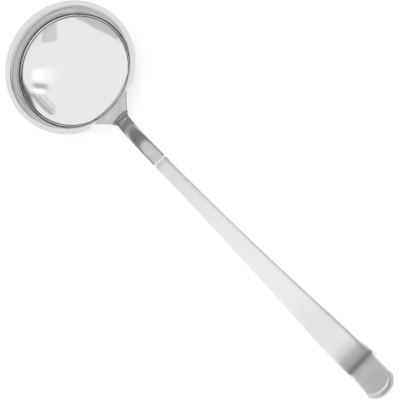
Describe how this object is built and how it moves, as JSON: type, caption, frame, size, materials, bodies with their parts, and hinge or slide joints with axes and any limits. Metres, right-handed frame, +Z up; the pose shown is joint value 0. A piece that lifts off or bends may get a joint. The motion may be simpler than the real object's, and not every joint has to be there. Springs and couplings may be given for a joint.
{
  "type": "soup ladle",
  "caption": "Steel soup ladle with a round polished bowl, a fan-rooted neck and a hollow satin handle that ends in an upturned hook.",
  "frame": {"origin": "on the table under the middle of the ladle, as it rests on its bowl and on the dip of its hook", "axes": "+X along the handle towards the hook, +Z up from the table, +Y across the handle"},
  "size_m": [0.3572, 0.0904, 0.0335],
  "materials": {
    "polished_steel": "mirror-polished stainless steel",
    "satin_steel": "fine satin brushed along the handle"
  },
  "bodies": {
    "root": {"bowl": "polished_steel", "neck": "polished_steel", "handle_top_shell": "satin_steel", "handle_back_shell": "satin_steel"}
  },
  "joints": []
}
